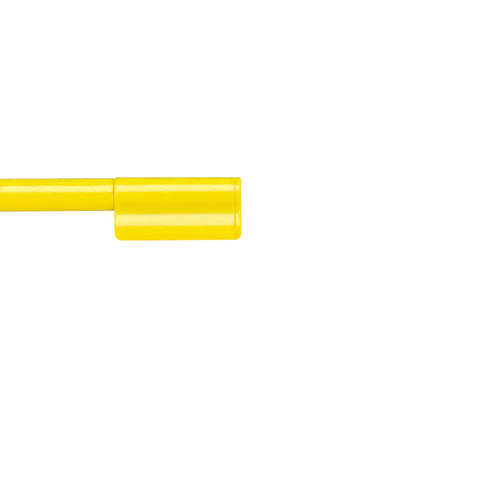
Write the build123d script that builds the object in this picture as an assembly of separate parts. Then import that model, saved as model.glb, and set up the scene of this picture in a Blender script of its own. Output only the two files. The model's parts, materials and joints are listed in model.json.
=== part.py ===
from build123d import *
import math
import os

# A felt tip marker with a push-on cap. The cap carries a side clip, an open channel that snaps over the
# barrel of another marker of the same size, so that several markers join side by side.
# Millimetres. The pen's axis is X: the origin is the centre of the tail's end face, and the nib points
# towards +X. The clip lies towards -Y. Z is up from the surface that the marker lies on.

# ---------------------------------------------------------------- driving dimensions

# Barrel: a thin tube that widens towards the tail, as it leaves its mould.
barrel_length = 115.0  # tail's end face to the shoulder that stops the cap
shoulder_d = 8.86
tail_d = 9.30
barrel_wall = 0.90
shoulder_round = 0.50
rib_count = 6  # ribs inside the tube, which centre the reservoir and leave air round it
rib_width = 0.60

# End plug: closes the tail.
plug_head = 1.20
plug_head_round = 0.55
plug_reach = 7.0  # spigot's length inside the barrel
plug_wall = 0.80
fin_count = 4  # cross fins inside the spigot, which hold the reservoir forward
fin_reach = 3.0  # beyond the spigot
fin_thickness = 0.90

# Beads round both spigots, the plug's and the front section's, which grip the barrel.
bead_count = 2
bead_height = 0.08
bead_width = 0.80  # at the top; each flank is half as long

# Front section: spigot, grip, stepped nose and the tube that holds the nib.
spigot_length = 9.0
spigot_lead = 0.20
grip_length = 20.5
grip_root_d = 7.60
grip_front_d = 7.44
grip_front_round = 0.30
root_groove_width = 0.45
root_groove_depth = 0.14
step_count = 4
step_length = 1.10
first_step_d = 6.55
last_step_d = 4.12
step_round = 0.22
tube_d = 3.47
tube_length = 2.70
tube_round = 0.15
chamber_reach = 13.0  # reservoir chamber's flat end, measured from the shoulder
chamber_cone = 2.0
air_channel_count = 3  # grooves beside the nib, which let air back in as ink leaves
air_channel_width = 0.50
air_channel_depth = 0.30

# Nib: a bonded fibre rod with a bullet point.
nib_d = 1.90
nib_reach = 3.85  # stands out of its tube
nib_point_length = 2.10
nib_point_round = 0.16
nib_insert = 8.0  # depth inside the reservoir
nib_tail_cone = 0.60

# Reservoir: a fibre core in a film sleeve.
reservoir_d = 5.70
sleeve_wall = 0.15
reservoir_clearance = 0.10  # radial, in the chamber and inside the ribs
reservoir_gap = 0.20  # lengthwise, at each end

# Cap: shell, crown and the bore that slides over the grip. Its length follows from the nose inside it.
cap_mouth_d = 9.32
cap_draft = 0.30  # degrees, over the whole outside
cap_clearance = 0.07  # radial, over the grip
edge_round = 0.55  # all round the outside: mouth, crown and the arms' free edges
crown_wall = 1.20
crown_groove_place = 1.68  # middle of the witness groove, measured from the crown's face
crown_groove_width = 0.62
crown_groove_depth = 0.22
vent_count = 4  # arc slots through the crown, so that a swallowed cap still lets air pass
vent_inner_d = 5.50
vent_width = 0.70
vent_angle = 50.0
gate_dish_d = 2.60  # dish in the crown's face, where the plastic entered the mould
gate_dish_depth = 0.24
gate_nub_d = 0.85
gate_nub_height = 0.15

# Clip: the channel beside the cap.
grip_back = 42.3  # furthest that the channel reaches back from the other marker's shoulder
channel_clearance = 0.07  # radial, round the other marker's barrel
clip_web = 0.35  # least thickness between the shell's outside and the channel
clip_wall = 1.08
clip_past_crest = 2.36  # free edges of the arms, beyond the channel's axis
valley_radius = 2.95  # hollow between the shell and each arm
mouth_corner = 2.15  # corner of each arm at the cap's mouth, seen from above
crown_corner = 1.75
channel_round = 0.20  # inner edges of the arms, where a barrel snaps in

# Inner seal: a soft cup that keeps air from the nib, centred in the cap by four fins.
seal_clearance = 0.04  # radial, over the nib's tube
seal_wall = 0.75
seal_floor = 0.80
seal_room = 0.80  # from the nib's point to the cup's floor
seal_lip_gap = 0.30  # from the last step to the cup's lip
seal_fin_count = 4
seal_fin_thickness = 0.80
seal_fin_start = 1.20  # behind the cup's lip
seal_turn_clearance = 0.03  # radial, between the fins and the cap's bore

# ---------------------------------------------------------------- sizes that follow

same = 1e-3  # lengths closer than this count as equal when an edge is looked for

shoulder = barrel_length
grip_front = shoulder + grip_length
steps_front = grip_front + step_count * step_length
tube_front = steps_front + tube_length
nib_tip = tube_front + nib_reach
crown_floor = nib_tip + seal_room + seal_floor
crown = crown_floor + crown_wall
cap_length = crown - shoulder

chamber_end = shoulder + chamber_reach
reservoir_start = plug_head + plug_reach + fin_reach + reservoir_gap
reservoir_end = chamber_end - reservoir_gap
chamber_r = reservoir_d / 2 + reservoir_clearance

seal_lip = steps_front + seal_lip_gap


def barrel_r(x):
    """Outer radius of the barrel at x."""
    return (tail_d + (shoulder_d - tail_d) * x / barrel_length) / 2


def barrel_bore_r(x):
    """Inner radius of the barrel at x."""
    return barrel_r(x) - barrel_wall


def grip_r(x):
    """Radius of the grip's cone at x, also past its front end."""
    return (grip_root_d + (grip_front_d - grip_root_d) * (x - shoulder) / grip_length) / 2


def cap_bore_r(x):
    """Radius of the cap's bore at x: the grip's cone and a clearance."""
    return grip_r(x) + cap_clearance


channel_r = barrel_r(shoulder - grip_back) + channel_clearance
clip_outer_r = channel_r + clip_wall
clip_offset = cap_mouth_d / 2 + clip_web + channel_r

# The marker lies on the cap's mouth, the tail and the lower arm, so the clip is turned up by this angle.
lean = math.degrees(math.asin((clip_outer_r - cap_mouth_d / 2) / clip_offset))


def turned(*points):
    """A solid of revolution about the pen's axis, from (x, radius) points."""
    return revolve(make_face(Polyline(*points, close=True)), axis=Axis.X)


def rod(x0, x1, r0, r1=None):
    """A plain or tapered rod on the pen's axis."""
    return turned((x0, 0), (x0, r0), (x1, r0 if r1 is None else r1), (x1, 0))


def rings(solid, x, radius):
    """The round edges of a solid at x with this radius."""
    return [
        edge
        for edge in solid.edges().filter_by(GeomType.CIRCLE)
        if abs(edge.arc_center.X - x) < same and abs(edge.radius - radius) < same
    ]


def beaded(start, end, radius):
    """(x, radius) points of a spigot with its beads. Each bead's top touches the barrel's tapered bore."""
    points = []
    for bead in range(bead_count):
        middle = start + (end - start) * (bead + 1) / (bead_count + 1)
        top = barrel_bore_r(middle + bead_width / 2)
        points.append((middle - bead_width, radius))
        points.append((middle - bead_width / 2, top))
        points.append((middle + bead_width / 2, top))
        points.append((middle + bead_width, radius))
    return points


def spokes(x0, x1, thickness, height, count):
    """Flat fins from the axis outwards, evenly spaced round it."""
    fin = Pos((x0 + x1) / 2, 0, height / 2) * Box(x1 - x0, thickness, height)
    return [Rot(X=360 / count * turn) * fin for turn in range(count)]


# ---------------------------------------------------------------- barrel


def make_barrel():
    tube = turned(
        (plug_head, barrel_r(plug_head)),
        (shoulder, barrel_r(shoulder)),
        (shoulder, barrel_bore_r(shoulder)),
        (plug_head, barrel_bore_r(plug_head)),
    )
    tube = fillet(rings(tube, shoulder, barrel_r(shoulder)), shoulder_round)
    rib_start = plug_head + plug_reach + reservoir_gap
    rib_end = shoulder - spigot_length - reservoir_gap
    root = barrel_wall / 2  # how far the ribs run into the wall
    inside = rod(rib_start, rib_end, barrel_bore_r(rib_start) + root, barrel_bore_r(rib_end) + root)
    hollow = rod(rib_start, rib_end, chamber_r)
    for fin in spokes(rib_start, rib_end, rib_width, barrel_r(0), rib_count):
        tube += (fin & inside) - hollow
    return tube


# ---------------------------------------------------------------- end plug


def make_end_plug():
    rim = plug_head
    end = plug_head + plug_reach
    spigot_r = barrel_bore_r(end) - bead_height
    cup_r = spigot_r - plug_wall
    plug = rod(0, rim, barrel_r(0))
    plug = fillet(rings(plug, 0, barrel_r(0)), plug_head_round)
    plug += turned((rim, cup_r), (rim, spigot_r), *beaded(rim, end, spigot_r), (end, spigot_r), (end, cup_r))
    for fin in spokes(rim, end + fin_reach, fin_thickness, reservoir_d / 2, fin_count):
        plug += fin
    return plug


# ---------------------------------------------------------------- front section


def section_outline():
    """(x, radius) points of the outside, from the spigot's end to the tube's mouth."""
    spigot_end = shoulder - spigot_length
    spigot_r = barrel_bore_r(shoulder) - bead_height
    points = [
        (spigot_end, spigot_r - spigot_lead),
        (spigot_end + spigot_lead, spigot_r),
        *beaded(spigot_end, shoulder, spigot_r),
        (shoulder, spigot_r),
        (shoulder, grip_r(shoulder) - root_groove_depth),
        (shoulder + root_groove_width, grip_r(shoulder) - root_groove_depth),
        (shoulder + root_groove_width, grip_r(shoulder + root_groove_width)),
        (grip_front, grip_r(grip_front)),
    ]
    for step in range(step_count):
        points.append((grip_front + step * step_length, step_r(step)))
        points.append((grip_front + (step + 1) * step_length, step_r(step)))
    points.append((steps_front, tube_d / 2))
    points.append((tube_front, tube_d / 2))
    return points


def step_r(step):
    """Radius of one step of the nose, counted from the grip."""
    return (first_step_d + (last_step_d - first_step_d) * step / (step_count - 1)) / 2


def make_front_section():
    body = turned((shoulder - spigot_length, 0), *section_outline(), (tube_front, 0))
    body = fillet(rings(body, grip_front, grip_r(grip_front)), grip_front_round)
    for step in range(step_count):
        x = grip_front + (step + 1) * step_length
        body = fillet(rings(body, x, step_r(step)), step_round)
    body = fillet(rings(body, tube_front, tube_d / 2), tube_round)
    channel_top = nib_d / 2 + air_channel_depth
    body -= turned(
        (shoulder - spigot_length, 0),
        (shoulder - spigot_length, chamber_r),
        (chamber_end, chamber_r),
        (chamber_end + chamber_cone, channel_top),
        (chamber_end + chamber_cone, 0),
    )
    body -= rod(chamber_end, tube_front, nib_d / 2)
    for channel in spokes(chamber_end, tube_front, air_channel_width, channel_top, air_channel_count):
        body -= channel
    return body


# ---------------------------------------------------------------- nib


def make_nib():
    radius = nib_d / 2
    point_start = nib_tip - nib_point_length
    tail = reservoir_end - nib_insert
    ogive_radius = (radius**2 + nib_point_length**2) / (2 * radius)
    middle = nib_tip - nib_point_length / 2
    middle_r = math.sqrt(ogive_radius**2 - (nib_point_length / 2) ** 2) + radius - ogive_radius
    sides = Polyline(
        (point_start, -radius),
        (tail + nib_tail_cone, -radius),
        (tail, nib_tail_cone / 2 - radius),
        (tail, radius - nib_tail_cone / 2),
        (tail + nib_tail_cone, radius),
        (point_start, radius),
    )
    upper = ThreePointArc((point_start, radius), (middle, middle_r), (nib_tip, 0))
    lower = ThreePointArc((nib_tip, 0), (middle, -middle_r), (point_start, -radius))
    bullet = make_face(sides + upper + lower)
    bullet = fillet(bullet.vertices().sort_by(Axis.X)[-1], nib_point_round)
    half = Pos((tail + nib_tip) / 2, radius) * Rectangle(nib_tip - tail, nib_d)
    return revolve(bullet & half, axis=Axis.X)


# ---------------------------------------------------------------- reservoir


def make_reservoir_core():
    core = rod(reservoir_start, reservoir_end, reservoir_d / 2 - sleeve_wall)
    return core - make_nib()


def make_reservoir_sleeve():
    outer = reservoir_d / 2
    inner = outer - sleeve_wall
    return rod(reservoir_start, reservoir_end, outer) - rod(reservoir_start, reservoir_end, inner)


# ---------------------------------------------------------------- cap
# The cap is drawn with its clip towards -Y and its mouth at x = 0, then turned up by the lean and moved
# to the shoulder.


def corner_angle(one, other, opposite):
    """The angle, in degrees, between two sides of a triangle, from its three sides."""
    return math.degrees(math.acos((one**2 + other**2 - opposite**2) / (2 * one * other)))


def cap_outline(inset):
    """Section of the cap's outside: the shell, the clip's lobe and a hollow on each side between them.

    Four arcs that run smoothly into each other. Each hollow's middle stands off the other two middles by
    the sum of the radii, so the angles at the shell and at the lobe come from a triangle's three sides.
    """
    shell_r = cap_mouth_d / 2 - inset
    lobe_r = clip_outer_r - inset
    hollow_r = valley_radius + inset
    to_shell = hollow_r + shell_r
    to_lobe = hollow_r + lobe_r
    at_shell = corner_angle(to_shell, clip_offset, to_lobe)
    at_lobe = corner_angle(to_lobe, clip_offset, to_shell)
    sweep = 180 - at_shell - at_lobe
    middle = Vector(-to_shell, 0).rotate(Axis.Z, -at_shell)
    arcs = [
        CenterArc((0, 0), shell_r, at_shell - 180, 360 - 2 * at_shell),
        CenterArc(middle, hollow_r, at_lobe - 180, sweep),
        CenterArc((-clip_offset, 0), lobe_r, at_lobe, 360 - 2 * at_lobe),
        CenterArc((middle.X, -middle.Y), hollow_r, at_shell, sweep),
    ]
    return Plane.YZ * make_face(arcs)


def cap_inset_at(x):
    """How far the draft has drawn the outside in at x, from the mouth."""
    return x * math.tan(math.radians(cap_draft))


def cap_slice(x0, x1, inset0, inset1):
    """The outline carried from x0 to x1 while its inset changes, as a mould's draft does it."""
    angle = math.degrees(math.atan2(inset1 - inset0, abs(x1 - x0)))
    return extrude(Pos(X=x0) * cap_outline(inset0), amount=x1 - x0, taper=angle)


def crown_groove():
    """A shallow V all round the outside, shell and arms alike: a band less the two tapers it leaves.

    The V is drawn twice as wide and twice as high as the groove, so that it reaches past the surface.
    """
    middle = cap_length - crown_groove_place
    waist = cap_inset_at(middle) + crown_groove_depth
    top = waist - 2 * crown_groove_depth
    sides = (middle - crown_groove_width, middle + crown_groove_width)
    band = cap_slice(*sides, top - crown_groove_depth, top - crown_groove_depth)
    for side in sides:
        band -= cap_slice(side, middle, top, waist)
    return band


def arm_plate():
    """What is kept of the cap, seen from above: it ends at the arms' free edges, with rounded corners."""
    free_edge = -(clip_offset + clip_past_crest)
    back = cap_mouth_d
    plate = Pos(cap_length / 2, (free_edge + back) / 2) * Rectangle(cap_length, back - free_edge)
    for at_x, radius in ((0, mouth_corner), (cap_length, crown_corner)):
        corner = plate.vertices().sort_by_distance((at_x, free_edge, 0))[0]
        plate = fillet(corner, radius)
    return extrude(plate, amount=clip_outer_r * 2, both=True)


def outer_edges(body):
    """Every edge where the outside meets an end face, an arm's free edge or one of its rounded corners.

    The straight edges along Z stay out: there a corner runs smoothly into its neighbours.
    """
    ends = body.faces().filter_by(GeomType.PLANE) + body.faces().filter_by(GeomType.CYLINDER)
    return ends.edges() - body.edges().filter_by(Axis.Z)


def channel_edges(body):
    """The long edges of the channel's mouth, one on each arm."""
    free_edge = -(clip_offset + clip_past_crest)
    return [edge for edge in body.edges().filter_by(Axis.X) if abs(edge.center().Y - free_edge) < same]


def crown_vents():
    """Arc slots through the crown, round the seal's cup. Each tool reaches past both faces."""
    middle = cap_length - crown_wall / 2
    section = Pos(middle, (vent_inner_d + vent_width) / 2) * Rectangle(2 * crown_wall, vent_width)
    slot = revolve(section, axis=Axis.X, revolution_arc=vent_angle)
    return [Rot(X=360 / vent_count * turn) * slot for turn in range(vent_count)]


def crown_gate():
    """The dish in the middle of the crown's face, less the nub that the mould's gate leaves in it."""
    floor = cap_length - gate_dish_depth
    nub_top = floor + gate_nub_height
    return turned(
        (cap_length, 0),
        (cap_length, gate_dish_d / 2),
        (floor, gate_dish_d / 2 - gate_dish_depth),
        (floor, gate_nub_d / 2),
        (nub_top, gate_nub_d / 2),
        (nub_top, 0),
    )


def make_cap():
    body = cap_slice(0, cap_length, 0, cap_inset_at(cap_length)) & arm_plate()
    body = fillet(outer_edges(body), edge_round)
    body -= crown_groove()
    body -= Pos(cap_length / 2, -clip_offset, 0) * Rot(Y=90) * Cylinder(channel_r, 2 * cap_length)
    body = fillet(channel_edges(body), channel_round)
    body -= rod(0, cap_length - crown_wall, cap_bore_r(shoulder), cap_bore_r(crown_floor))
    for slot in crown_vents():
        body -= slot
    body -= crown_gate()
    return Pos(X=shoulder) * Rot(X=-lean) * body


# ---------------------------------------------------------------- inner seal


def make_cap_seal():
    """A cup over the nib's tube, with fins out to the cap's bore and its floor on the crown."""
    bore = tube_d / 2 + seal_clearance
    outer = bore + seal_wall
    cup = turned(
        (seal_lip, bore),
        (seal_lip, outer),
        (crown_floor, outer),
        (crown_floor, 0),
        (crown_floor - seal_floor, 0),
        (crown_floor - seal_floor, bore),
    )
    fin_start = seal_lip + seal_fin_start
    turning = seal_turn_clearance
    reach = rod(fin_start, crown_floor, cap_bore_r(fin_start) - turning, cap_bore_r(crown_floor) - turning)
    hollow = rod(seal_lip, crown_floor, (bore + outer) / 2)
    for fin in spokes(fin_start, crown_floor, seal_fin_thickness, cap_mouth_d / 2, seal_fin_count):
        cup += (fin & reach) - hollow
    return cup


# ---------------------------------------------------------------- write the parts

if __name__ == "__main__":
    makers = {
        "barrel": make_barrel,
        "end_plug": make_end_plug,
        "front_section": make_front_section,
        "nib": make_nib,
        "reservoir_core": make_reservoir_core,
        "reservoir_sleeve": make_reservoir_sleeve,
        "cap": make_cap,
        "cap_seal": make_cap_seal,
    }
    os.makedirs("parts", exist_ok=True)
    for name, make in makers.items():
        export_step(make(), f"parts/{name}.step")
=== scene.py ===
# %% [markdown]
# # A capped felt tip marker
#
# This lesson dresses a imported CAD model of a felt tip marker. The CAD part fixes every size and every
# joint. Here its plastics get their finish, the nib and the ink store get the fibres that the CAD solids
# leave out, and a long lens and a few soft lights show the marker lying on white paper.
#
# Everything is in metres and in the CAD model's frame: the pen's axis is X, the nib points to +X, the
# clip lies towards -Y, and Z is up.

# %% load the CAD model
import json
import math

import bpy
import numpy as np
from mathutils import Matrix, Vector


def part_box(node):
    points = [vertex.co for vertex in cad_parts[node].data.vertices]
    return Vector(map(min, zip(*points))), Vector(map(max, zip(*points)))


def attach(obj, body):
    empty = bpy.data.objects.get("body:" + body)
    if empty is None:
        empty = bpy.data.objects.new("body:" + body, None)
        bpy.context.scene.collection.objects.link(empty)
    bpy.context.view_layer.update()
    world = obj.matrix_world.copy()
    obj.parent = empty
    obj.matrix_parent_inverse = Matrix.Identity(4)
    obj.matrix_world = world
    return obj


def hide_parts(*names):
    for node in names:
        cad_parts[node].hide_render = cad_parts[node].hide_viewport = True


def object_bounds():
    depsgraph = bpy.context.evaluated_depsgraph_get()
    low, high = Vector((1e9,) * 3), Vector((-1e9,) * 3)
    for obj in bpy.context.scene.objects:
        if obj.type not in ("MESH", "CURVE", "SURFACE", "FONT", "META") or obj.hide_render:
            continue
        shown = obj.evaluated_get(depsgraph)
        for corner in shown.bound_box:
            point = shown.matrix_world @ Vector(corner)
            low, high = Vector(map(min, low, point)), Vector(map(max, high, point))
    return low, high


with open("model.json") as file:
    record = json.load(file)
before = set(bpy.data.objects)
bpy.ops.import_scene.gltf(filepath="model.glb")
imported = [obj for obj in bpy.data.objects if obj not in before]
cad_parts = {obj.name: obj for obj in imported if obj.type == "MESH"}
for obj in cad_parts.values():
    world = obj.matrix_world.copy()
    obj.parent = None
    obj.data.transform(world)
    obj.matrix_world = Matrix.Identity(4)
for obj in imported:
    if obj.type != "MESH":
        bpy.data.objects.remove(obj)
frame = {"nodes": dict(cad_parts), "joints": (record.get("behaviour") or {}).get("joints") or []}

MM = 0.001
UM = 1e-6

cad_box = [list(corner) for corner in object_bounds()]
cap_turn = next(joint for joint in frame["joints"] if joint["name"] == "cap_turn")
shoulder = cap_turn["pos_m"][0]  # where the cap stops against the barrel
table_z = cad_box[0][2]  # the surface that the marker lies on

print("CAD box in mm:", [[round(v / MM, 2) for v in corner] for corner in cad_box])
print("shoulder at x =", round(shoulder / MM, 2), "mm")

# %% [markdown]
# ## The camera
#
# A pen for a catalogue is seen from nearly straight above with a long lens, so that the barrel's sides
# stay parallel. It could be an orthographic camera, but a long lens keeps a trace of depth. The camera
# stands over the marker and is tipped a little to the side away from the clip. It is placed from two
# angles and a point to look at, so that each can be changed by itself. The tail runs out of view.

# %% place the camera
view_width = 135.1 * MM  # what the square view takes in, at the marker's distance
lens = 200.0  # this and the sensor are in millimetres, as Blender's cameras have them
sensor = 36.0
tip = math.radians(15.0)
roll = math.radians(0.38)  # the marker climbs this much to the right
right_of_shoulder = 36.6 * MM
below_axis = 15.0 * MM

camera_data = bpy.data.cameras.new("camera")
camera_data.lens = lens
camera_data.sensor_width = sensor
camera = bpy.data.objects.new("camera", camera_data)
bpy.context.scene.collection.objects.link(camera)
bpy.context.scene.camera = camera

turn = Matrix.Rotation(-tip, 3, "X") @ Matrix.Rotation(-roll, 3, "Z")
view_right = turn @ Vector((1, 0, 0))
view_up = turn @ Vector((0, 1, 0))
towards_camera = turn @ Vector((0, 0, 1))
distance = view_width * lens / sensor
looked_at = Vector((shoulder, 0, 0)) + view_right * right_of_shoulder - view_up * below_axis
camera.matrix_world = Matrix.Translation(looked_at + towards_camera * distance) @ turn.to_4x4()
camera_data.clip_start = distance / 10
camera_data.clip_end = distance * 20

print("camera", round(distance, 3), "m from the marker")

# %% [markdown]
# ## Material tools
#
# Each finish is a small node tree, so the next cells make short helpers for nodes, noise and groups.
# Lengths inside the trees are in metres, because Object coordinates are.

# %% nodes, links and sums
def add_node(tree, kind, **settings):
    """A node with some of its properties and inputs set by name."""
    node = tree.nodes.new(kind)
    for name, value in settings.items():
        if name in node.inputs:
            node.inputs[name].default_value = value
        else:
            setattr(node, name, value)
    return node


def join(tree, value, socket):
    """Sets a socket to a number, or links another node's output to it."""
    if hasattr(value, "is_linked"):
        tree.links.new(value, socket)
    else:
        socket.default_value = value


def math_node(tree, operation, a, b=0.0, clamp=False):
    """A Math node's output. Its two inputs are numbers or other nodes' outputs."""
    node = add_node(tree, "ShaderNodeMath", operation=operation, use_clamp=clamp)
    join(tree, a, node.inputs[0])
    join(tree, b, node.inputs[1])
    return node.outputs[0]


# %% masks, noise and tones
def band(tree, value, low, high):
    """A mask that climbs from 0 to 1 while the value climbs from low to high."""
    node = add_node(tree, "ShaderNodeMapRange", clamp=True)
    node.inputs["From Min"].default_value = low
    node.inputs["From Max"].default_value = high
    tree.links.new(value, node.inputs["Value"])
    return node.outputs[0]


def stretched_noise(tree, place, per_metre, detail=2.0, turned=(0.0, 0.0, 0.0)):
    """Noise with its own number of grains per metre along X, Y and Z, after a turn in radians."""
    mapping = add_node(tree, "ShaderNodeMapping")
    mapping.inputs["Rotation"].default_value = turned
    mapping.inputs["Scale"].default_value = per_metre
    tree.links.new(place, mapping.inputs["Vector"])
    noise = add_node(tree, "ShaderNodeTexNoise", Scale=1.0, Detail=detail, Roughness=0.5)
    tree.links.new(mapping.outputs[0], noise.inputs["Vector"])
    return noise.outputs[0]


def two_tones(tree, mask, low, high):
    """A colour that goes from the low tone to the high one while the mask goes from 0 to 1."""
    mix = add_node(tree, "ShaderNodeMix", data_type="RGBA")
    mix.inputs["A"].default_value = (*low, 1.0)
    mix.inputs["B"].default_value = (*high, 1.0)
    tree.links.new(mask, mix.inputs["Factor"])
    return mix.outputs["Result"]


# %% groups and materials
FLOAT = "NodeSocketFloat"


def new_group(name, inputs, outputs):
    """A node group with float sockets. Gives the group, its input node and its output node."""
    group = bpy.data.node_groups.new(name, "ShaderNodeTree")
    for label, value in inputs.items():
        group.interface.new_socket(name=label, in_out="INPUT", socket_type=FLOAT).default_value = value
    for label in outputs:
        group.interface.new_socket(name=label, in_out="OUTPUT", socket_type=FLOAT)
    return group, group.nodes.new("NodeGroupInput"), group.nodes.new("NodeGroupOutput")


def use_group(tree, group, values):
    """A group placed in a material, with that material's own values."""
    node = add_node(tree, "ShaderNodeGroup", node_tree=group)
    for label, value in values.items():
        node.inputs[label].default_value = value
    return node


def new_material(name):
    """A material with one Principled shader. Gives the material, its tree and the shader."""
    material = bpy.data.materials.new(name)
    material.use_nodes = True
    tree = material.node_tree
    return material, tree, tree.nodes["Principled BSDF"]


def raise_surface(tree, height, shader):
    """Feeds a height in metres to the shader as a bump."""
    bump = add_node(tree, "ShaderNodeBump", Strength=1.0, Distance=1.0)
    tree.links.new(height, bump.inputs["Height"])
    tree.links.new(bump.outputs["Normal"], shader.inputs["Normal"])


print("helpers ready; materials in the model:", sorted(bpy.data.materials.keys()))

# %% [markdown]
# ## What a moulded skin looks like
#
# Glossy moulded plastic is never a perfect mirror. The mould's own polish leaves a faint waviness, the
# melt leaves streaks along its flow, and hands and pencil cases leave hairline scratches and dull
# patches. An image texture could hold all this, but noise in the object's own coordinates needs no
# unwrapping and has the right size on every piece. All the marker's moulded pieces have such a skin, so
# it is one node group with its amounts as inputs. It puts out a height in metres, a roughness and a tone.

# %% the grain of a moulded skin, in grains per metre along X, Y and Z
wave_grain = (700, 700, 700)
streak_grain = (40, 900, 900)  # the melt flows along the pen
scratch_grain = (70, 4200, 4200)
scratch_turns = ((0.3, 0.2, 0.5), (1.1, 0.7, 1.9), (0.5, 1.6, 2.7))
scratch_edge = (0.70, 0.80)  # only the noise's crests are scratches
scratch_roughness = 0.12
handled_grain = (90, 160, 160)
handled_edge = (0.45, 0.75)
cloud_grain = (30, 120, 120)
cloud_share = 0.6  # of the tone; the streaks make the rest


# %% the moulded skin group
def build_moulded_skin():
    """Puts out waves and streaks less three sets of scratches, a roughness, and a tone from 0 to 1."""
    group, given, result = new_group(
        "moulded_skin",
        {"Wave Height": 0.8 * UM, "Scratch Depth": 1.2 * UM, "Roughness": 0.1, "Dullness": 0.05},
        ("Height", "Roughness", "Tone"),
    )
    place = add_node(group, "ShaderNodeTexCoord").outputs["Object"]
    wave = stretched_noise(group, place, wave_grain)
    streak = stretched_noise(group, place, streak_grain, detail=3.0)
    waves = math_node(group, "MULTIPLY", math_node(group, "ADD", wave, streak), given.outputs["Wave Height"])

    scratch = 0.0
    for turned in scratch_turns:
        line = stretched_noise(group, place, scratch_grain, detail=1.0, turned=turned)
        scratch = math_node(group, "MAXIMUM", scratch, band(group, line, *scratch_edge))
    cut = math_node(group, "MULTIPLY", scratch, given.outputs["Scratch Depth"])
    join(group, math_node(group, "SUBTRACT", waves, cut), result.inputs["Height"])

    handled = band(group, stretched_noise(group, place, handled_grain, detail=4.0), *handled_edge)
    dull = math_node(group, "MULTIPLY", handled, given.outputs["Dullness"])
    scratched = math_node(group, "MULTIPLY", scratch, scratch_roughness)
    rough = math_node(group, "ADD", given.outputs["Roughness"], math_node(group, "ADD", dull, scratched))
    join(group, rough, result.inputs["Roughness"])

    cloud = stretched_noise(group, place, cloud_grain)
    clouds = math_node(group, "MULTIPLY", cloud, cloud_share)
    streaks = math_node(group, "MULTIPLY", streak, 1 - cloud_share)
    join(group, math_node(group, "ADD", clouds, streaks), result.inputs["Tone"])
    return group


moulded_skin = build_moulded_skin()
print("moulded skin:", len(moulded_skin.nodes), "nodes")

# %% [markdown]
# ## The yellow plastic
#
# The barrel, its plug, the nose and the cap are moulded from one bright yellow plastic. Light goes a
# fraction of a millimetre into it and comes out warmer, because red travels further than green and
# almost no blue comes back, so shaded sides turn orange and not grey. A painted gradient could fake
# that, but subsurface scattering gives it on every side and under any light.
#
# A camera's film curve holds back the red of a bright highlight before its blue, so the gloss on yellow
# plastic looks cream and not lemon. The plain view transform has no such curve, so the reflection itself
# gets a cooler tint, in the shader's own Specular Tint.

# %% functions for every moulded plastic
def moulded(wave, scratch, roughness, dullness):
    """The skin group's inputs for one piece. The wave and the scratches are in micrometres."""
    heights = {"Wave Height": wave * UM, "Scratch Depth": scratch * UM}
    return heights | {"Roughness": roughness, "Dullness": dullness}


def plastic(name, dark, light, skin, scatter, depth, tint=(1.0, 1.0, 1.0), ior=1.55):
    """A moulded plastic. Depth is how far red, green and blue light travel in it, in metres."""
    material, tree, shader = new_material(name)
    surface = use_group(tree, moulded_skin, skin)
    tree.links.new(two_tones(tree, surface.outputs["Tone"], dark, light), shader.inputs["Base Color"])
    tree.links.new(surface.outputs["Roughness"], shader.inputs["Roughness"])
    raise_surface(tree, surface.outputs["Height"], shader)
    shader.inputs["IOR"].default_value = ior
    shader.inputs["Specular Tint"].default_value = (*tint, 1.0)
    shader.inputs["Subsurface Weight"].default_value = scatter
    shader.inputs["Subsurface Scale"].default_value = max(depth)
    shader.inputs["Subsurface Radius"].default_value = [way / max(depth) for way in depth]
    return material


# %% the yellow plastic on its four pieces
yellow_dark = (0.850, 0.700, 0.0005)
yellow_light = (0.874, 0.724, 0.0005)
yellow_depth = (0.32 * MM, 0.12 * MM, 0.02 * MM)
yellow_scatter = 1.0  # all the light that isn't reflected goes into the plastic
gloss_tint = (0.15, 0.46, 1.0)
yellow_skins = {
    "barrel": moulded(wave=0.4, scratch=1.2, roughness=0.07, dullness=0.03),
    "end_plug": moulded(wave=0.6, scratch=1.6, roughness=0.12, dullness=0.06),
    "front_section": moulded(wave=0.5, scratch=0.8, roughness=0.09, dullness=0.03),
    "cap": moulded(wave=0.5, scratch=1.4, roughness=0.07, dullness=0.04),
}
for node, skin in yellow_skins.items():
    name = f"{node}_yellow"
    yellow = plastic(name, yellow_dark, yellow_light, skin, yellow_scatter, yellow_depth, gloss_tint)
    frame["nodes"][node].data.materials[0] = yellow
    print(node, "wears", yellow.name)

# %% [markdown]
# ## The milky seal and the clear film
#
# The seal cup is uncoloured soft plastic: milky, a little waxy, and rougher than the cap. It wears the
# same skin as the yellow pieces, with its own amounts. The wrap round the ink store is a thin clear film
# with long wrinkles. They are so low that a bump is enough for them. Both pieces keep their CAD shape.

# %% the milky seal
milky_dark = (0.74, 0.74, 0.70)
milky_light = (0.80, 0.80, 0.77)
milky_depth = (0.9 * MM, 0.8 * MM, 0.6 * MM)
milky_scatter = 0.6
milky_skin = moulded(wave=2.0, scratch=1.0, roughness=0.34, dullness=0.10)
milky = plastic("milky_seal", milky_dark, milky_light, milky_skin, milky_scatter, milky_depth, ior=1.51)
frame["nodes"]["cap_seal"].data.materials[0] = milky
print("cap_seal wears", milky.name)

# %% the clear film
wrinkle_grain = (50, 1500, 1500)  # per metre: long along the pen and narrow across
wrinkle_height = 8 * UM
# the wrinkles' dips get a darker, warmer tone than their crests: painted shade
shaded_film_dips = (0.93, 0.90, 0.78)
film_crests = (0.98, 0.97, 0.92)
film_clearness = 0.9


def build_film():
    """Clear film: plain glassy transmission, with wrinkles that run along the pen and painted shade in their
    dips.
    """
    material, tree, shader = new_material("clear_film")
    place = add_node(tree, "ShaderNodeTexCoord").outputs["Object"]
    wrinkle = stretched_noise(tree, place, wrinkle_grain, detail=3.0)
    raise_surface(tree, math_node(tree, "MULTIPLY", wrinkle, wrinkle_height), shader)
    # the wrinkle height picks the tone, so the dips show painted shade
    tree.links.new(two_tones(tree, wrinkle, shaded_film_dips, film_crests), shader.inputs["Base Color"])
    shader.inputs["Roughness"].default_value = 0.12
    shader.inputs["IOR"].default_value = 1.5
    shader.inputs["Transmission Weight"].default_value = film_clearness
    return material


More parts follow.
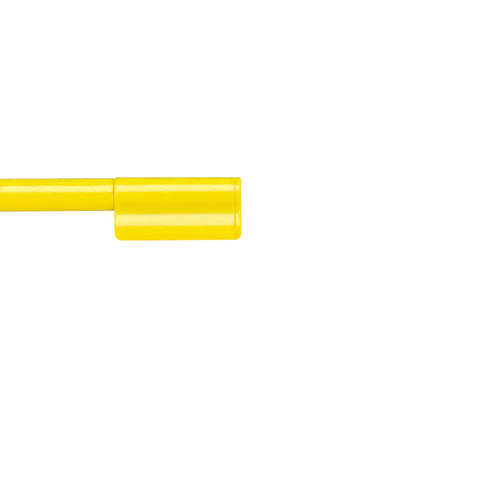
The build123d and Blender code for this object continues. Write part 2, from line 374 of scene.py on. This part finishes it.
film = build_film()
frame["nodes"]["reservoir_sleeve"].data.materials[0] = film
print("reservoir_sleeve wears", film.name)

# %% [markdown]
# ## Bonded fibres
#
# The nib is a rod of thousands of fine polyester fibres, glued side by side and ground to a bullet
# point. The ink store is a looser bundle of thicker, crimped fibres. Seen closely both show fine dark
# lines along the pen, where ink stands between the fibres. The lines could be drawn in an image and
# wrapped round the rod, but that leaves a seam. Noise that is very long along X and very fine across has
# none, so one group makes the lines from it. Its outputs are a height and a mask of the inked gaps.

# %% the fibre grain group
strand_grain = (250, 9000, 9000)  # per metre, with a fineness of 1
bundle_grain = (120, 2500, 2500)
strand_share = 0.6
gap_edge = (0.36, 0.56)  # below it lies a gap, above it a strand


def build_fibre_grain():
    """Puts out the height of strands and bundles, and a mask of the gaps between them."""
    amounts = {"Fibre Height": 6 * UM, "Fineness": 1.0}
    group, given, result = new_group("fibre_grain", amounts, ("Height", "Gaps"))
    place = add_node(group, "ShaderNodeTexCoord").outputs["Object"]
    fine = add_node(group, "ShaderNodeVectorMath", operation="SCALE")
    group.links.new(place, fine.inputs[0])
    group.links.new(given.outputs["Fineness"], fine.inputs["Scale"])
    strand = stretched_noise(group, fine.outputs[0], strand_grain)
    bundle = stretched_noise(group, fine.outputs[0], bundle_grain)
    strands = math_node(group, "MULTIPLY", strand, strand_share)
    bundles = math_node(group, "MULTIPLY", bundle, 1 - strand_share)
    both = math_node(group, "ADD", strands, bundles)
    join(group, math_node(group, "MULTIPLY", both, given.outputs["Fibre Height"]), result.inputs["Height"])
    join(group, math_node(group, "SUBTRACT", 1.0, band(group, both, *gap_edge)), result.inputs["Gaps"])
    return group


fibre_grain = build_fibre_grain()
print("fibre grain:", len(fibre_grain.nodes), "nodes")

# %% the two fibre materials
gap_gloss = 0.2  # how much smoother the inked gaps are than the strands
fibre_gloss = 0.15  # fibres break the gloss up, so little of it is left


def fibres(name, wet, dry, height, fineness, roughness, sheen):
    """Bonded or loose fibres: a lighter tone on the strands, the ink's deeper tone in the gaps."""
    material, tree, shader = new_material(name)
    grain = use_group(tree, fibre_grain, {"Fibre Height": height, "Fineness": fineness})
    tree.links.new(two_tones(tree, grain.outputs["Gaps"], dry, wet), shader.inputs["Base Color"])
    raise_surface(tree, grain.outputs["Height"], shader)
    smoother = math_node(tree, "MULTIPLY", grain.outputs["Gaps"], gap_gloss)
    tree.links.new(math_node(tree, "SUBTRACT", roughness, smoother), shader.inputs["Roughness"])
    shader.inputs["Specular IOR Level"].default_value = fibre_gloss
    shader.inputs["Sheen Weight"].default_value = sheen
    return material


nib_fibre = fibres(
    "inked_nib",
    wet=(0.52, 0.23, 0.001),
    dry=(0.82, 0.46, 0.003),
    height=6 * UM,
    fineness=1.0,
    roughness=0.50,
    sheen=0.03,
)
store_fibre = fibres(
    "inked_store",
    wet=(0.78, 0.50, 0.01),
    dry=(0.93, 0.76, 0.10),
    height=18 * UM,
    fineness=0.4,
    roughness=0.75,
    sheen=0.2,
)
print("fibre materials:", nib_fibre.name, store_fibre.name)

# %% [markdown]
# ## The nib and the ink store as surfaces
#
# Both pieces are turned shapes with fibres standing out along them. A CAD solid has only the smooth
# envelope. They could be smooth with a bump map, but then their edges and their exported meshes would be
# smooth too. So each is worked out as rings of points: the envelope gives a ring's radius, and the gaps
# in a row of rounded ridges take a little off it.

# %% rings of points into a closed mesh
def closed_rings(name, rings):
    """A closed mesh from rings of points, shaped (rings, points in a ring, 3).

    Point j of ring i makes a face with point j + 1, counted round, and with the same two points of
    ring i + 1. The first and the last ring are closed by a fan round their middle. The rings run so
    that turning from point to point and going on to the next ring is a right-hand frame with the
    outside, so every face points outwards.
    """
    count, around = rings.shape[:2]
    middles = rings[[0, -1]].mean(axis=1)
    places = np.concatenate((rings.reshape(-1, 3), middles))
    here = np.arange(around)
    after = (here + 1) % around
    base = (np.arange(count - 1) * around)[:, None]
    sides = np.stack((base + here, base + after, base + around + after, base + around + here), axis=-1)
    first, last = count * around, count * around + 1
    top = (count - 1) * around
    start = np.stack((after, here, np.full(around, first)), axis=-1)
    end = np.stack((top + here, top + after, np.full(around, last)), axis=-1)
    mesh = bpy.data.meshes.new(name)
    mesh.from_pydata(places.tolist(), [], sides.reshape(-1, 4).tolist() + start.tolist() + end.tolist())
    mesh.shade_smooth()
    piece = bpy.data.objects.new(name, mesh)
    bpy.context.scene.collection.objects.link(piece)
    return piece


# %% an envelope with fibres along it
per_fibre = 8  # points across one fibre
roundness = 0.7  # 1 gives a plain sine, and less gives fuller ridges with sharper gaps
slow_wander = 2.1 * MM  # along X for each radian of the slow sine
fast_wander = 0.83 * MM  # and of the fast one
fast_share = 0.6


def fibre_rings(along, radius, count, relief, wander):
    """Rings about the X axis whose radius is the envelope's, less the gaps between a row of ridges.

    With n fibres, the ridge at angle a is the absolute sine of n (a + w) / 2, to the power of the
    roundness, so it is round on top and sharp in the gaps. The wander w drifts along X as the sum of a
    slow sine and a fast one. The relief is the ridges' height at each ring, and a ring's radius is the
    envelope's less the relief times one minus the ridge. The fast sine starts a radian ahead.
    """
    angle = np.linspace(0, 2 * np.pi, count * per_fibre, endpoint=False)
    drift = wander * (np.sin(along / slow_wander) + fast_share * np.sin(along / fast_wander + 1.0))
    ridge = np.abs(np.sin(count / 2 * (angle[None, :] + drift[:, None]))) ** roundness
    reach = radius[:, None] - relief[:, None] * (1 - ridge)
    level = np.broadcast_to(along[:, None], reach.shape)
    return np.stack((level, reach * np.cos(angle), reach * np.sin(angle)), axis=-1)


# %% what a finished piece measures
def report(piece):
    """Prints a closed piece's triangles and its volume by the divergence theorem."""
    mesh = piece.data
    mesh.calc_loop_triangles()
    corners = np.empty(len(mesh.loop_triangles) * 3, np.int64)
    mesh.loop_triangles.foreach_get("vertices", corners)
    places = np.empty(len(mesh.vertices) * 3)
    mesh.vertices.foreach_get("co", places)
    a, b, c = places.reshape(-1, 3)[corners.reshape(-1, 3)].transpose(1, 0, 2)
    volume = np.einsum("ij,ij->i", a, np.cross(b, c)).sum() / 6
    print(piece.name, len(mesh.loop_triangles), "triangles,", round(volume / MM**3, 2), "cubic mm")


# %% [markdown]
# ### The nib
#
# The rod of a bullet nib is ground to an ogive, an arc that meets the rod without a corner, and its very
# tip is a small ball. A half sphere on a rod would be quicker, but it would be too blunt for a bullet
# point. So the outline is a formula for the radius at each x, and the CAD box gives the rod.

# %% the nib's measures
nib_low, nib_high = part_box("nib")
nib_r = nib_high.z
point_length = 2.10 * MM
point_round = 0.16 * MM
tail_cone = 0.60 * MM  # the nib's tail is ground to a short cone, which slides into the bundle
nib_fibre_count = 46
nib_relief = 0.022 * MM
nib_wander = 0.02
nib_rings = 60  # along the rod, and as many again on the point
tip_hole = 0.002 * MM  # the last ring stands this far before the tip, and a fan closes it
print("nib:", round(2 * nib_r / MM, 2), "mm thick and", round((nib_high.x - nib_low.x) / MM, 2), "mm long")


# %% the nib's outline
def nib_radius(x):
    """The nib's envelope at x: a rod, a coned tail, and an ogive that ends in a small sphere.

    The ogive is an arc that is tangent to the rod, with the radius (r^2 + l^2) / 2r for a rod of radius r
    and a point of length l. The sphere is tangent to the arc, so the smaller of the two is the outline.
    """
    arc = (nib_r**2 + point_length**2) / (2 * nib_r)
    ball_middle = nib_high.x - point_round
    # The ball's middle lies on the axis, and its distance from the arc's middle is arc - point_round.
    start = ball_middle - math.sqrt((arc - point_round) ** 2 - (arc - nib_r) ** 2)
    ogive = np.sqrt(arc**2 - np.clip(x - start, 0, None) ** 2) + nib_r - arc
    touch = ball_middle + point_round * (ball_middle - start) / (arc - point_round)
    ball = np.sqrt(np.clip(point_round**2 - (x - ball_middle) ** 2, 0, None))
    cone = nib_r - np.clip(nib_low.x + tail_cone - x, 0, None) / 2
    return np.where(x > touch, ball, np.minimum(ogive, cone))


def nib_places():
    """Ring places along X: even along the rod, then as the sine of even angles, so ever closer to the tip."""
    rod_end = nib_high.x - 1.5 * point_length  # the closer rings start half a point's length early
    rod = np.linspace(nib_low.x, rod_end, nib_rings, endpoint=False)
    ease = np.sin(np.linspace(0, np.pi / 2, nib_rings))
    return np.concatenate((rod, rod_end + (nib_high.x - tip_hole - rod_end) * ease))


# %% the nib itself
nib_x = nib_places()
nib_envelope = nib_radius(nib_x)
nib_ridges = nib_relief * nib_envelope / nib_r  # they fade out towards the point
nib_surface = fibre_rings(nib_x, nib_envelope, nib_fibre_count, nib_ridges, nib_wander)
nib = closed_rings("nib_fibres", nib_surface)
nib.data.materials.append(nib_fibre)
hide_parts("nib")
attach(nib, "pen")
report(nib)

# %% [markdown]
# ### The ink store
#
# The bundle is a fat cylinder of thick fibres with a hole in its front end, where the nib's tail stands
# and drinks. The hole could be cut with a Boolean, but on a surface of fine ridges that leaves slivers.
# Instead the rings turn the corner: they run along the outside, then inwards over the front end, then
# back down the hole, and stay one closed surface.

# %% the ink store's measures
core_low, core_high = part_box("reservoir_core")
core_r = core_high.z
room_round_nib = 0.01 * MM
room_behind_nib = 0.05 * MM
hole_r = nib_r + room_round_nib
hole_end = nib_low.x - room_behind_nib
store_fibre_count = 38
store_relief = 0.10 * MM
store_wander = 0.05
outside_rings, front_rings, hole_rings = 150, 6, 12
print("ink store:", round(2 * core_r / MM, 2), "mm thick, hole", round(2 * hole_r / MM, 2), "mm wide")


# %% the ink store's rings
def core_rings():
    """The bundle's rings: along the outside, over the front end, and down the hole that holds the nib.

    The ridges stand only on the outside. They fade out over the front end, and the hole is smooth.
    """
    outside = np.linspace(core_low.x, core_high.x, outside_rings)
    front = np.linspace(core_r, hole_r, front_rings)[1:]
    hole = np.linspace(core_high.x, hole_end, hole_rings)[1:]
    along = np.concatenate((outside, np.full(len(front), core_high.x), hole))
    radius = np.concatenate((np.full(len(outside), core_r), front, np.full(len(hole), hole_r)))
    fade = (front - hole_r) / (core_r - hole_r)
    relief = store_relief * np.concatenate((np.ones(len(outside)), fade, np.zeros(len(hole))))
    return fibre_rings(along, radius, store_fibre_count, relief, store_wander)


# %% the ink store itself
core = closed_rings("reservoir_bundle", core_rings())
core.data.materials.append(store_fibre)
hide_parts("reservoir_core")
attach(core, "pen")
report(core)

# %% [markdown]
# ## Paper and light
#
# The marker lies on white paper that runs out of sight. To the camera the paper and the world are white,
# and near the marker the paper keeps its soft shadow. A world that was white in the gloss as well would
# wash a grey veil over saturated plastic, so the studio has black flags all round, and a reflection
# shows nothing but lamps. Nothing on this object is metal or glass, which would need a bright room.

# %% what the camera sees for itself
def plain_sight(tree):
    """1 for a ray from the camera or through a clear piece, and 0 for the rays that gather light."""
    path = add_node(tree, "ShaderNodeLightPath")
    return math_node(tree, "ADD", path.outputs["Is Camera Ray"], path.outputs["Is Transmission Ray"], True)


# %% the paper
paper_half = 3.0  # a sheet of six metres runs out of sight on every side
paper_grey = 0.80
paper_lift = 0.50  # added where the camera sees it, so that lit paper is just past white
paper_grain = (3000, 3000, 3000)
paper_tooth = 8 * UM


def build_paper():
    """White paper with a fine tooth and no gloss, lifted to white in plain sight."""
    material, tree, shader = new_material("paper")
    place = add_node(tree, "ShaderNodeTexCoord").outputs["Object"]
    tooth = stretched_noise(tree, place, paper_grain)
    raise_surface(tree, math_node(tree, "MULTIPLY", tooth, paper_tooth), shader)
    shader.inputs["Base Color"].default_value = (paper_grey, paper_grey, paper_grey, 1)
    shader.inputs["Roughness"].default_value = 0.9
    shader.inputs["Specular IOR Level"].default_value = 0.0
    lift = math_node(tree, "MULTIPLY", plain_sight(tree), paper_lift)
    tree.links.new(lift, shader.inputs["Emission Strength"])
    shader.inputs["Emission Color"].default_value = (1, 1, 1, 1)
    return material


sheet = bpy.data.meshes.new("paper")
corners = np.array([[-1, -1], [1, -1], [1, 1], [-1, 1]]) * paper_half
places = np.column_stack((corners, np.full(4, table_z)))
sheet.from_pydata(places.tolist(), [], [(0, 1, 2, 3)])
sheet.materials.append(build_paper())
paper = bpy.data.objects.new("paper", sheet)
bpy.context.scene.collection.objects.link(paper)
paper.visible_glossy = False
print("paper at z =", round(table_z / MM, 3), "mm")

# %% the world
ambient = 0.98
ambient_tint = (1.03, 0.91, 0.86)


def build_world():
    """White to the camera, an even soft light to everything else, and dark in the gloss."""
    world = bpy.data.worlds.new("world")
    world.use_nodes = True
    tree = world.node_tree
    shade = add_node(tree, "ShaderNodeMix", data_type="RGBA")
    shade.inputs["A"].default_value = (*(ambient * part for part in ambient_tint), 1)
    shade.inputs["B"].default_value = (1, 1, 1, 1)
    tree.links.new(plain_sight(tree), shade.inputs["Factor"])
    background = tree.nodes["Background"]
    tree.links.new(shade.outputs["Result"], background.inputs["Color"])
    glossy = add_node(tree, "ShaderNodeLightPath").outputs["Is Glossy Ray"]
    tree.links.new(math_node(tree, "SUBTRACT", 1.0, glossy), background.inputs["Strength"])
    return world


bpy.context.scene.world = build_world()
print("world: an even light of", ambient, "tinted", ambient_tint)

# %% [markdown]
# ## The soft boxes
#
# A long soft box beside the camera, parallel to the pen, draws one clean bright band along the barrel
# and another along the clip. One lamp would draw an even band. Strips that grow brighter towards the far
# edge give it a bright side and a soft one, as a soft box does whose bulb is nearer to one edge. The
# strips only shine in the gloss. The plastic's body gets its light from the world and from two fills
# that don't show in the gloss: a broad cool one over the marker, and a low warm one in front of the
# clip, without which that side would look olive.
#
# The last four lamps are for someone who walks round the table. A round bar sends their reflections
# away from this camera. Two boxes, high beyond the pen's two ends, draw bands when the pen is seen from
# a corner. Two gold cards stand in line with the pen: a glossy bar that is seen along its length is
# almost all reflection, and with nothing there to reflect it would turn dark.

# %% a soft box that faces the marker
def softbox(name, way, away, wide, high, radiance, tint=(1, 1, 1)):
    """A rectangle of light that faces the marker from the given way.

    Wide and high are the angles that it fills, seen from the marker. An area lamp's power is pi times
    its area times its radiance, and a radiance of 1 shows as plain white.
    """
    data = bpy.data.lights.new(name, "AREA")
    data.shape = "RECTANGLE"
    data.size = 2 * away * math.tan(wide / 2)
    data.size_y = 2 * away * math.tan(high / 2)
    data.energy = radiance * math.pi * data.size * data.size_y
    data.color = tint
    lamp = bpy.data.objects.new(name, data)
    bpy.context.scene.collection.objects.link(lamp)
    lamp.location = Vector((shoulder, 0, 0)) + way * away
    lamp.rotation_euler = way.to_track_quat("Z", "Y").to_euler()
    return lamp


def off_view(angle):
    """The way that lies this far from the camera's, towards the top of the view."""
    return Matrix.Rotation(-angle, 3, view_right) @ towards_camera


# %% the key: five strips, brighter towards the far edge
key_near = math.radians(17.4)
key_far = math.radians(63.5)
key_wide = math.radians(30)
key_away = 0.9
key_strips = 5
key_dim, key_bright = 3.7, 6.1
strip_high = (key_far - key_near) / key_strips
for number in range(key_strips):
    share = (number + 0.5) / key_strips
    way = off_view(key_near + share * (key_far - key_near))
    radiance = key_dim + share * (key_bright - key_dim)
    strip = softbox(f"key_{number}", way, key_away, key_wide, strip_high, radiance)
    strip.visible_diffuse = False
    print(strip.name, "radiance", round(radiance, 2))

# %% the two fills
fill_away = 1.2
fill_angle = math.radians(33)  # off the view
fill_wide = math.radians(53)
fill_radiance = 1.05
fill_tint = (0.78, 1.22, 1.35)
front_rise = math.radians(18)  # over the table
front_wide = math.radians(80)
front_high = math.radians(28)
front_radiance = 0.6
front_tint = (1.0, 0.84, 0.80)
front_way = Vector((0, -math.cos(front_rise), math.sin(front_rise)))
fills = (
    softbox("fill", off_view(fill_angle), fill_away, fill_wide, fill_wide, fill_radiance, fill_tint),
    softbox("front", front_way, fill_away, front_wide, front_high, front_radiance, front_tint),
)
for fill in fills:
    fill.visible_glossy = False
    print(fill.name, "power", round(fill.data.energy, 2), "W")

# %% the two corner boxes
corner_away = 0.9
corner_wide = math.radians(26)
corner_radiance = 4.0
corner_along, corner_behind, corner_up = 0.66, 0.1, 0.74  # the way to each box, in proportion
for end, side in (("tail", -1), ("crown", 1)):
    way = Vector((side * corner_along, corner_behind, corner_up)).normalized()
    corner = softbox(f"corner_{end}", way, corner_away, corner_wide, corner_wide, corner_radiance)
    corner.visible_diffuse = False
    print(corner.name, "power", round(corner.data.energy, 2), "W")

# %% the two gold cards
card_away = 1.0
card_wide = math.radians(60)
card_radiance = 0.5
card_gold = (1.0, 0.82, 0.15)
for end, side in (("tail", -1), ("crown", 1)):
    way = Vector((side, 0, 0))
    card = softbox(f"card_{end}", way, card_away, card_wide, card_wide, card_radiance, card_gold)
    card.visible_diffuse = False

# %% [markdown]
# ## Close
#
# The view transform is the plain Standard one.

# %% the view transform
bpy.context.scene.view_settings.view_transform = "Standard"
